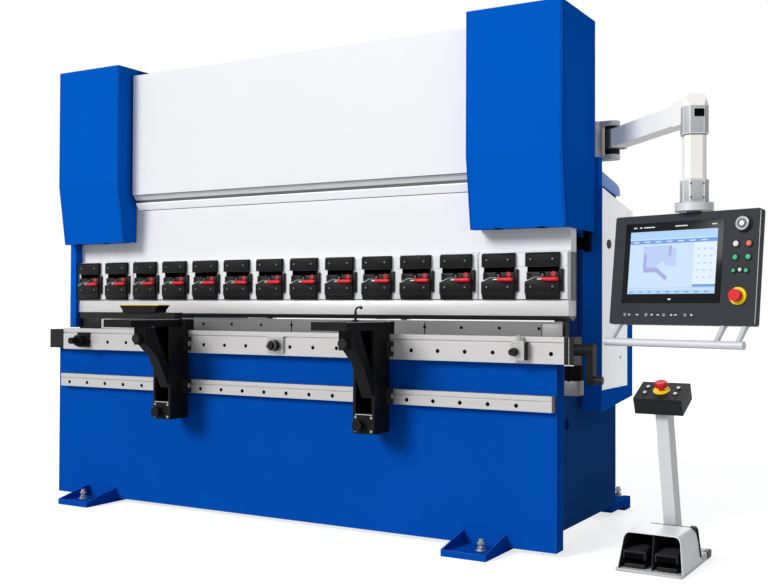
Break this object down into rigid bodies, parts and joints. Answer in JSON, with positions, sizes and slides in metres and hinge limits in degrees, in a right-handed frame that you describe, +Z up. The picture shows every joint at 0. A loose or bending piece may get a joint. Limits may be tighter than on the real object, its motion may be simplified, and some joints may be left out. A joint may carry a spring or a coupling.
{
  "type": "cnc press brake",
  "caption": "Hydraulic bending press with a white ram between blue cylinder covers, lever tool clamps, front sheet support arms, a swing-arm control panel and a foot pedal station.",
  "frame": {"origin": "on the floor, midway between the two front anchor holes", "axes": "+X along the machine to the operator's right, +Y from the operator to the back, +Z up"},
  "size_m": [4.0506, 1.813, 2.49],
  "materials": {
    "blue_paint": "gloss",
    "white_paint": "satin",
    "light_grey_paint": "satin",
    "brushed_steel": "brushed",
    "dark_steel": "blackened",
    "aluminium": "anodised",
    "black_cast": "satin black",
    "black_plastic": "matte",
    "grey_case": "satin",
    "red_plastic": "gloss",
    "white_plastic": "gloss",
    "screen_glass": "gloss screen",
    "chrome": "polished",
    "zinc": "zinc plated"
  },
  "bodies": {
    "root": {"side_frames": "blue_paint", "table_front_plate": "blue_paint", "bed_slab": "dark_steel", "cross_beams": "blue_paint", "floor_feet": "blue_paint", "levelling_screws": "zinc", "cylinder_covers": "blue_paint", "cylinders": "dark_steel", "guide_strips": "brushed_steel", "die_holder": "brushed_steel", "lower_die": "brushed_steel", "upper_rail": "aluminium", "lower_rail": "aluminium", "rail_end_blocks": "black_plastic", "crowning_drive": "dark_steel", "hydraulic_unit": "light_grey_paint", "electrical_cabinet": "light_grey_paint", "side_guards": "blue_paint", "pendant_bracket": "aluminium", "gauge_rails": "dark_steel", "pedal_base": "light_grey_paint", "pedal_shroud": "white_paint", "pedal_post": "white_paint", "pedal_box": "black_plastic"},
    "ram": {"ram": "white_paint", "ram_panel": "white_paint", "clamp_bar": "white_paint", "clamp_blocks": "dark_steel", "clamp_screws": "dark_steel", "clamp_levers": "red_plastic", "punch": "brushed_steel", "piston_rods": "chrome"},
    "crank": {"crank": "black_cast"},
    "crank_grip": {"crank_grip": "black_plastic"},
    "arm_left": {"support_arm_left": "black_cast", "sheet_bar_left": "black_plastic", "sheet_tray_left": "black_plastic"},
    "arm_right": {"support_arm_right": "black_cast", "sheet_hook_right": "black_plastic"},
    "knob_left": {"arm_knob_left": "black_plastic"},
    "knob_right": {"arm_knob_right": "black_plastic"},
    "stop_left": {"rail_stop_left": "dark_steel"},
    "stop_middle": {"rail_stop_middle": "zinc"},
    "stop_right": {"rail_stop_right": "zinc"},
    "gauge": {"gauge_beam": "aluminium"},
    "finger_left": {"gauge_finger_left": "brushed_steel"},
    "finger_right": {"gauge_finger_right": "brushed_steel"},
    "pendant": {"pendant_arm": "aluminium"},
    "panel": {"control_panel": "grey_case", "screen": "screen_glass", "panel_handle": "aluminium", "panel_buttons": "white_plastic"},
    "panel_stop": {"panel_estop": "red_plastic"},
    "selector": {"panel_selector": "chrome"},
    "pedal_left": {"pedal_left": "black_plastic"},
    "pedal_right": {"pedal_right": "black_plastic"},
    "pedal_stop": {"pedal_estop": "red_plastic"},
    "door_left": {"guard_door_left": "white_paint"},
    "door_right": {"guard_door_right": "white_paint"},
    "cabinet_door": {"cabinet_door": "light_grey_paint"}
  },
  "joints": [
    {"name": "ram_stroke", "type": "slide", "parent": "root", "child": "ram", "axis": [0, 0, 1], "range_m": [0, 0.16]},
    {"name": "crank_turn", "type": "hinge", "parent": "root", "child": "crank", "pos_m": [1.66, 0.085, 0.925], "axis": [1, 0, 0], "continuous": true},
    {"name": "grip_spin", "type": "hinge", "parent": "crank", "child": "crank_grip", "pos_m": [1.75, 0.085, 0.795], "axis": [1, 0, 0], "continuous": true},
    {"name": "arm_left_slide", "type": "slide", "parent": "root", "child": "arm_left", "axis": [1, 0, 0], "range_m": [-0.3, 0.26]},
    {"name": "arm_right_slide", "type": "slide", "parent": "root", "child": "arm_right", "axis": [1, 0, 0], "range_m": [-0.2, 0.56]},
    {"name": "knob_left_turn", "type": "hinge", "parent": "arm_left", "child": "knob_left", "pos_m": [-0.569, -0.267, 0.942], "axis": [0, 1, 0], "continuous": true},
    {"name": "knob_right_turn", "type": "hinge", "parent": "arm_right", "child": "knob_right", "pos_m": [0.681, -0.267, 0.942], "axis": [0, 1, 0], "continuous": true},
    {"name": "stop_left_slide", "type": "slide", "parent": "root", "child": "stop_left", "axis": [1, 0, 0], "range_m": [-0.11, 0.19]},
    {"name": "stop_middle_slide", "type": "slide", "parent": "root", "child": "stop_middle", "axis": [1, 0, 0], "range_m": [-0.235, 0.215]},
    {"name": "stop_right_slide", "type": "slide", "parent": "root", "child": "stop_right", "axis": [1, 0, 0], "range_m": [-0.055, 0.15]},
    {"name": "gauge_depth", "type": "slide", "parent": "root", "child": "gauge", "axis": [0, 1, 0], "range_m": [-0.085, 0.25]},
    {"name": "finger_left_slide", "type": "slide", "parent": "gauge", "child": "finger_left", "axis": [1, 0, 0], "range_m": [-0.5, 0.35]},
    {"name": "finger_right_slide", "type": "slide", "parent": "gauge", "child": "finger_right", "axis": [1, 0, 0], "range_m": [-0.35, 0.5]},
    {"name": "pendant_swing", "type": "hinge", "parent": "root", "child": "pendant", "pos_m": [1.592, 0.76, 1.94], "axis": [0, 0, 1], "range_deg": [0, 80]},
    {"name": "panel_swivel", "type": "hinge", "parent": "pendant", "child": "panel", "pos_m": [2.13452, 0.18025, 1.55], "axis": [0, 0, 1], "range_deg": [-60, 90]},
    {"name": "panel_stop_push", "type": "slide", "parent": "panel", "child": "panel_stop", "axis": [0.2821, 0.9522, -0.1175], "range_m": [0, 0.005], "stiffness_N_per_m": 1200, "springref_m": -0.004},
    {"name": "selector_turn", "type": "hinge", "parent": "panel", "child": "selector", "pos_m": [2.36054, 0.07009, 1.44879], "axis": [0.2821, 0.9522, -0.1175], "range_deg": [-135, 135]},
    {"name": "pedal_left_press", "type": "hinge", "parent": "root", "child": "pedal_left", "pos_m": [1.91661, 0.30868, 0.047], "axis": [0.9998, -0.0174, 0], "range_deg": [0, 5.5], "stiffness_Nm_per_rad": 60, "springref_deg": -14.32},
    {"name": "pedal_right_press", "type": "hinge", "parent": "root", "child": "pedal_right", "pos_m": [2.05277, 0.30631, 0.047], "axis": [0.9998, -0.0174, 0], "range_deg": [0, 5.5], "stiffness_Nm_per_rad": 60, "springref_deg": -14.32},
    {"name": "pedal_stop_push", "type": "slide", "parent": "root", "child": "pedal_stop", "axis": [0.0069, 0.3971, -0.9178], "range_m": [0, 0.0035], "stiffness_N_per_m": 1200, "springref_m": -0.004},
    {"name": "door_right_hinge", "type": "hinge", "parent": "root", "child": "door_right", "pos_m": [1.5945, 0.945, 1.1], "axis": [0, 0, 1], "range_deg": [0, 90]},
    {"name": "door_left_hinge", "type": "hinge", "parent": "root", "child": "door_left", "pos_m": [-1.5945, 0.945, 1.1], "axis": [0, 0, 1], "range_deg": [-90, 0]},
    {"name": "cabinet_door_hinge", "type": "hinge", "parent": "root", "child": "cabinet_door", "pos_m": [-1.489, 1.436, 0.714], "axis": [0, 0, 1], "range_deg": [0, 110]}
  ]
}
